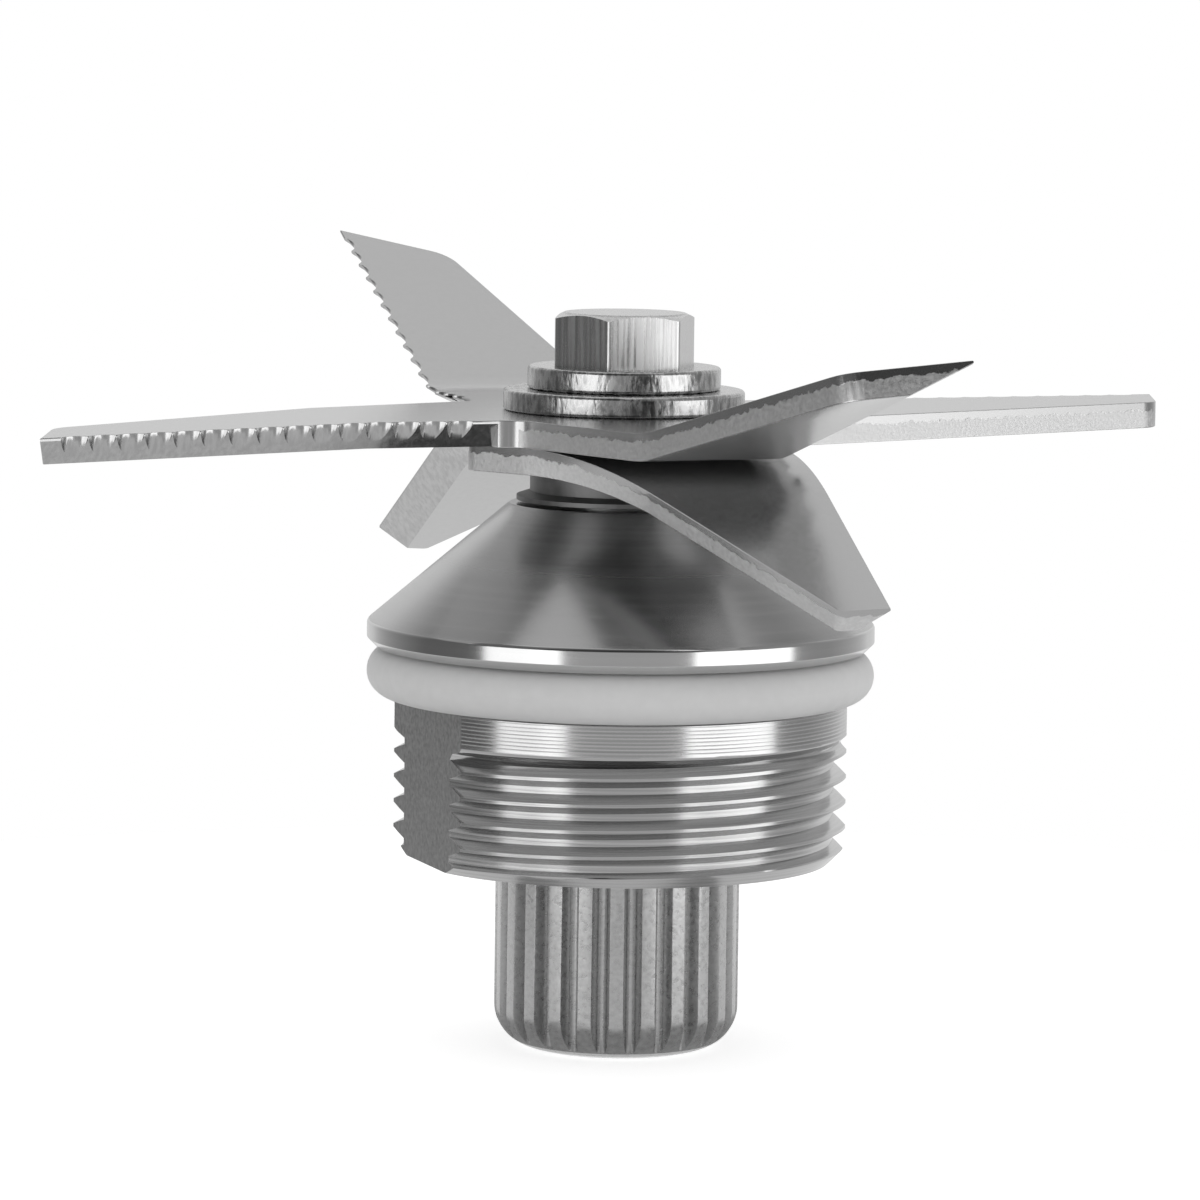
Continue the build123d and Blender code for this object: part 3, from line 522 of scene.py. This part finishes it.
# %% Finish a piece
def finish_piece(name, bm, looks, body, node_name, sharp_angle, flat_look=-1):
    """Write a bmesh to a piece that rides on a body; edges round faces of the flat look are sharp."""
    bmesh.ops.recalc_face_normals(bm, faces=bm.faces)
    for face in bm.faces:
        face.smooth = True
    for edge in bm.edges:
        kinds = {face.material_index == flat_look for face in edge.link_faces}
        edge.smooth = len(kinds) == 1 and edge.calc_face_angle(0) < math.radians(sharp_angle)
    piece = new_object(name, bm)
    mesh = piece.data
    for look in looks:
        mesh.materials.append(steels[look])
    flatten = piece.modifiers.new("flat_faces_lead", "WEIGHTED_NORMAL")
    flatten.keep_sharp = True
    flatten.weight = 100
    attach(piece, body)
    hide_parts(node_name)
    triangles = sum(len(face.vertices) - 2 for face in mesh.polygons)
    low = [min(vert.co[axis] for vert in mesh.vertices) for axis in range(3)]
    high = [max(vert.co[axis] for vert in mesh.vertices) for axis in range(3)]
    print(name, "triangles", triangles, "low", in_mm(low), "high", in_mm(high))


# %% Spin a profile
SPIN_STEPS = 200
ROUNDING_STEPS = 3
WHOLE_TURN = 2 * math.pi


def rounded(points):
    """Profile points (radius, level, rounding) in mm, with each rounding drawn as an arc."""
    profile = []
    for index, (radius, level, rounding) in enumerate(points):
        here = Vector((radius, level))
        if rounding == 0:
            profile.append(here)
            continue
        back = (Vector(points[index - 1][:2]) - here).normalized()
        ahead = (Vector(points[index + 1][:2]) - here).normalized()
        half = back.angle(ahead) / 2
        centre = here + (back + ahead).normalized() * (rounding / math.sin(half))
        first_spoke = here + back * (rounding / math.tan(half)) - centre
        last_spoke = here + ahead * (rounding / math.tan(half)) - centre
        for step in range(ROUNDING_STEPS + 1):
            spoke = first_spoke.slerp(last_spoke, step / ROUNDING_STEPS)
            profile.append(centre + spoke * first_spoke.length)
    return profile


def spin_profile(bm, points, lift=0.0):
    """Spin profile points (radius, level) in mm once round the shaft's axis, rising by lift."""
    verts = [bm.verts.new((point[0] * MM, 0, point[1] * MM)) for point in points]
    edges = [bm.edges.new(pair) for pair in zip(verts, verts[1:])]
    bmesh.ops.spin(
        bm,
        geom=verts + edges,
        cent=(0, 0, 0),
        axis=(0, 0, 1),
        dvec=(0, 0, lift * MM / SPIN_STEPS),
        angle=WHOLE_TURN,
        steps=SPIN_STEPS,
        use_merge=lift == 0,
    )


def open_edges(bm):
    """Edges with only one face."""
    return [edge for edge in bm.edges if edge.is_boundary]


# %% [markdown]
# ## The housing
# One turned piece: cone, rim, O-ring groove, a plain band and a two-millimetre thread. The thread is
# the profile of several turns, spun once while it climbs by one pitch; its ends meet and are merged.
# Its depth fades out below the plain band and its lowest turn runs out in the chamfer.

# %% Measures of the housing in mm, radii and levels
BODY_RADIUS = 18.0
BODY_BOTTOM = 15.0
BODY_CHAMFER = 1.3
THREAD_TOP = 25.2
BAND_TOP = 27.7
GROOVE_RADIUS = 16.0
RIM_RADIUS = 20.0
RIM_BOTTOM = 31.8
RIM_CHAMFER = 0.65
CONE_FOOT = 33.68
CONE_TOP = 43.1
CONE_TOP_RADIUS = 8.9
SHAFT_HOLE_RADIUS = 6.0
SEAL_SEAT_RADIUS = 9.0
SEAL_SEAT_TOP = 37.35
BORE_RADIUS = 11.0
BORE_TOP = 32.35
CIRCLIP_GROOVE_RADIUS = 11.65
CIRCLIP_GROOVE_TOP = 16.6
CIRCLIP_GROOVE_BOTTOM = 15.5

# %% Thread
THREAD_PITCH = 2.0
THREAD_DEPTH = 1.05
CREST_HALF = 0.13
FLANK_HEIGHT = THREAD_DEPTH * math.tan(math.radians(30))
FLANK_STEPS = 6
FIRST_TURN = 6
LAST_TURN = 14
FADE_START = 24.2


def rising_flank(crest):
    """Points (radius, level) from the root of the thread up to a crest."""
    points = []
    for left in range(FLANK_STEPS, -1, -1):
        radius = BODY_RADIUS - THREAD_DEPTH * left / FLANK_STEPS
        level = crest - CREST_HALF - FLANK_HEIGHT * left / FLANK_STEPS
        points.append((radius, level))
    return points


def run_out(vert):
    """Fade a vertex of the thread out towards the plain band, and cut it by the chamfer."""
    level = min(max(vert.co.z / MM, BODY_BOTTOM), THREAD_TOP)
    depth = BODY_RADIUS - vert.co.xy.length / MM
    fade = min(max((THREAD_TOP - level) / (THREAD_TOP - FADE_START), 0), 1)
    radius = BODY_RADIUS - depth * fade * fade * (3 - 2 * fade)
    radius = min(radius, BODY_RADIUS - BODY_CHAMFER + level - BODY_BOTTOM)
    around = vert.co.xy.normalized() * radius * MM
    vert.co = (around.x, around.y, level * MM)


thread_points = []
for turn in range(FIRST_TURN, LAST_TURN + 1):
    crest = turn * THREAD_PITCH
    rising = rising_flank(crest)
    falling = [(radius, 2 * crest - level) for radius, level in reversed(rising)]
    thread_points += rising + falling
bm = bmesh.new()
spin_profile(bm, thread_points, lift=THREAD_PITCH)
bmesh.ops.remove_doubles(bm, verts=bm.verts, dist=0.5 * MICRON)
for vert in bm.verts:
    run_out(vert)
bmesh.ops.remove_doubles(bm, verts=bm.verts, dist=2 * MICRON)
bmesh.ops.dissolve_degenerate(bm, edges=bm.edges, dist=1 * MICRON)
print("thread faces:", len(bm.faces), "open edges:", len(open_edges(bm)))

# %% The rest of the turned profile: radius, level and rounding of each corner in mm
LINE_COUNT = 8
FIRST_LINE = 0.15
LINE_SPACING = 0.29
LINE_WIDTH = 0.18
LINE_DEPTH = 0.016

band = []
for line in range(LINE_COUNT):
    level = THREAD_TOP + FIRST_LINE + LINE_SPACING * line
    band.append((BODY_RADIUS, level, 0))
    band.append((BODY_RADIUS - LINE_DEPTH, level + LINE_WIDTH / 2, 0))
    band.append((BODY_RADIUS, level + LINE_WIDTH, 0))
outside = [
    (BODY_RADIUS, BAND_TOP, 0.08),
    (GROOVE_RADIUS, BAND_TOP, 0),
    (GROOVE_RADIUS, RIM_BOTTOM, 0),
    (RIM_RADIUS - RIM_CHAMFER, RIM_BOTTOM, 0.1),
    (RIM_RADIUS, RIM_BOTTOM + RIM_CHAMFER, 0.08),
    (RIM_RADIUS, CONE_FOOT, 0.42),
    (CONE_TOP_RADIUS, CONE_TOP, 0.35),
]
inside = [
    (SHAFT_HOLE_RADIUS, CONE_TOP, 0.1),
    (SHAFT_HOLE_RADIUS, SEAL_SEAT_TOP, 0),
    (SEAL_SEAT_RADIUS, SEAL_SEAT_TOP, 0),
    (SEAL_SEAT_RADIUS, BORE_TOP, 0),
    (BORE_RADIUS, BORE_TOP, 0),
    (BORE_RADIUS, CIRCLIP_GROOVE_TOP, 0),
    (CIRCLIP_GROOVE_RADIUS, CIRCLIP_GROOVE_TOP, 0),
    (CIRCLIP_GROOVE_RADIUS, CIRCLIP_GROOVE_BOTTOM, 0),
    (BORE_RADIUS, CIRCLIP_GROOVE_BOTTOM, 0),
    (BORE_RADIUS, BODY_BOTTOM, 0.1),
    (BODY_RADIUS - BODY_CHAMFER, BODY_BOTTOM, 0),
]
spin_profile(bm, rounded([(BODY_RADIUS, THREAD_TOP, 0)] + band + outside + inside))
bmesh.ops.remove_doubles(bm, verts=bm.verts, dist=2 * MICRON)
print("open edges of the turned piece:", len(open_edges(bm)))

# %% Mill the two flats
FLAT_AZIMUTHS = (200, 20)
FLAT_DISTANCE = 16.0
OUTSIDE_BORE = 11.2
ABOVE_BAND = 27.75
HOUSING_LOOKS = ["polished_steel", "threaded_steel", "milled_flat", "bored_steel", "satin_cone"]
FLAT_LOOK = HOUSING_LOOKS.index("milled_flat")


def faces_of_body(bm):
    """Faces on the outside of the threaded body."""
    chosen = []
    for face in bm.faces:
        middle = face.calc_center_median()
        if middle.z < ABOVE_BAND * MM and middle.xy.length > OUTSIDE_BORE * MM:
            chosen.append(face)
    return chosen


def mill_flat(bm, azimuth):
    """Cut the body along a plane, take the outer side away and close the cut with a flat."""
    turn = math.radians(azimuth)
    normal = Vector((math.cos(turn), math.sin(turn), 0))
    zone = set(faces_of_body(bm))
    for face in list(zone):
        zone.update(face.verts)
        zone.update(face.edges)
    place = normal * FLAT_DISTANCE * MM
    bmesh.ops.bisect_plane(bm, geom=list(zone), dist=0.5 * MICRON, plane_co=place, plane_no=normal)
    limit = FLAT_DISTANCE * MM + MICRON
    beyond = [face for face in faces_of_body(bm) if face.calc_center_median().dot(normal) > limit]
    bmesh.ops.delete(bm, geom=beyond, context="FACES")
    filled = bmesh.ops.triangle_fill(
        bm, use_beauty=True, use_dissolve=False, edges=open_edges(bm), normal=normal
    )
    flat_faces = [made for made in filled["geom"] if isinstance(made, bmesh.types.BMFace)]
    for face in flat_faces:
        face.material_index = FLAT_LOOK
    print("flat", azimuth, "faces", len(flat_faces), "still open", len(open_edges(bm)))


for azimuth in FLAT_AZIMUTHS:
    mill_flat(bm, azimuth)

# %% Looks of the housing's faces
INSIDE_RADIUS = 11.7
INSIDE_TOP = 43.0
CONE_LOOK_BOTTOM = 33.8
CONE_LOOK_TOP = 43.05


def housing_look(middle):
    """Name of the look for a face whose middle is at this place in mm."""
    if middle.xy.length < INSIDE_RADIUS and middle.z < INSIDE_TOP:
        return "bored_steel"
    if middle.z < ABOVE_BAND:
        return "threaded_steel"
    if CONE_LOOK_BOTTOM < middle.z < CONE_LOOK_TOP:
        return "satin_cone"
    return "polished_steel"


for face in bm.faces:
    if face.material_index != FLAT_LOOK:
        look = housing_look(face.calc_center_median() / MM)
        face.material_index = HOUSING_LOOKS.index(look)
finish_piece(
    "housing",
    bm,
    HOUSING_LOOKS,
    body="housing",
    node_name="bearing_housing",
    sharp_angle=33,
    flat_look=FLAT_LOOK,
)


# %% [markdown]
# ## Blades, stub and bolt
# These start as copies of the CAD meshes. Coplanar triangles are joined, and chosen edges get a narrow
# bevel that catches the light: the upper and lower rims of the blades, and the long upright ridges of
# the stub and the bolt. Each vertex of a blade also stores its depth below the top face.

# %% Dress a CAD mesh
RIDGE_LENGTH = 2.0
RIDGE_ANGLE = 30
UPRIGHT_SHARE = 0.98
SIDE_RISE = 0.5
FACE_RISE = 0.7
COPLANAR_ANGLE = 0.3


def long_ridge(edge):
    """True for a sharp upright edge that is longer than the least ridge."""
    along = edge.verts[1].co - edge.verts[0].co
    stands = abs(along.z) > UPRIGHT_SHARE * along.length and along.length > RIDGE_LENGTH * MM
    return stands and edge.calc_face_angle(0) > math.radians(RIDGE_ANGLE)


def sheet_rim(edge):
    """True for an edge between the sheet's top or bottom and its side, told by their normals' rise."""
    rises = sorted(abs(face.normal.z) for face in edge.link_faces)
    return len(rises) == 2 and rises[0] < SIDE_RISE and rises[1] > FACE_RISE


def copy_of(node_name):
    """A bmesh with a copy of a CAD node's mesh in the shared frame."""
    source = frame["nodes"][node_name]
    bm = bmesh.new()
    bm.from_mesh(source.data)
    bmesh.ops.transform(bm, matrix=source.matrix_world, verts=bm.verts)
    return bm


def dressed(node_name, bevel_width, chosen):
    """A merged copy of a CAD node's mesh with narrow bevels on the chosen edges."""
    bm = copy_of(node_name)
    bmesh.ops.remove_doubles(bm, verts=bm.verts, dist=1 * MICRON)
    bmesh.ops.dissolve_limit(
        bm,
        angle_limit=math.radians(COPLANAR_ANGLE),
        use_dissolve_boundaries=False,
        verts=bm.verts,
        edges=bm.edges,
    )
    bm.normal_update()
    sharp = [edge for edge in bm.edges if chosen(edge)]
    bmesh.ops.bevel(
        bm,
        geom=sharp,
        offset=bevel_width * MM,
        offset_type="OFFSET",
        affect="EDGES",
        segments=2,
        profile=0.5,
        clamp_overlap=False,
        material=-1,
    )
    bm.normal_update()
    print(node_name, "bevelled edges", len(sharp), "faces", len(bm.faces))
    return bm


# %% Blade looks
SHEET_THICKNESS = 2.1
BLADE_LOOKS = ["satin_sheet", "blanked_edge", "ground_edge"]
TOP_DEPTH = 0.12
UNDERSIDE_DEPTH = 0.9
GROUND_START = 13.0
GROUND_FACING = 0.25
GROUND_RISE = 0.3


def store_depth(bm, node_name):
    """Store each vertex's depth below the top face, where the sheet's thickness is 1."""
    top_sheet = copy_of(node_name)
    others = [face for face in top_sheet.faces if face.normal.z < FACE_RISE]
    bmesh.ops.delete(top_sheet, geom=others, context="FACES")
    top = BVHTree.FromBMesh(top_sheet)
    top_sheet.free()
    depth_layer = bm.verts.layers.float.new("depth")
    for vert in bm.verts:
        vert[depth_layer] = top.find_nearest(vert.co)[3] / (SHEET_THICKNESS * MM)
    return depth_layer


def blade_look(face, depth_layer):
    """Name of the look for a blade's face: sheet, blanked edge or ground leading edge."""
    depths = [vert[depth_layer] for vert in face.verts]
    if max(depths) < TOP_DEPTH or min(depths) > UNDERSIDE_DEPTH:
        return "satin_sheet"
    middle = face.calc_center_median()
    ahead = Vector((-middle.y, middle.x, 0)).normalized()
    leads = face.normal.dot(ahead) > GROUND_FACING and face.normal.z < GROUND_RISE
    return "ground_edge" if leads and middle.xy.length > GROUND_START * MM else "blanked_edge"


# %% Blades
for blade_name in ("upper_blade", "lower_blade"):
    bm = dressed(blade_name, bevel_width=0.08, chosen=sheet_rim)
    depth_layer = store_depth(bm, blade_name)
    for face in bm.faces:
        face.material_index = BLADE_LOOKS.index(blade_look(face, depth_layer))
    finish_piece(
        "dressed_" + blade_name,
        bm,
        BLADE_LOOKS,
        body="rotor",
        node_name=blade_name,
        sharp_angle=28,
    )

# %% Stub
bm = dressed("drive_coupling", bevel_width=0.10, chosen=long_ridge)
finish_piece(
    "splined_stub",
    bm,
    ["sintered_steel_look"],
    body="rotor",
    node_name="drive_coupling",
    sharp_angle=32,
)

# %% Bolt
bm = dressed("blade_bolt", bevel_width=0.20, chosen=long_ridge)
finish_piece(
    "hex_bolt",
    bm,
    ["bolt_side"],
    body="rotor",
    node_name="blade_bolt",
    sharp_angle=32,
)
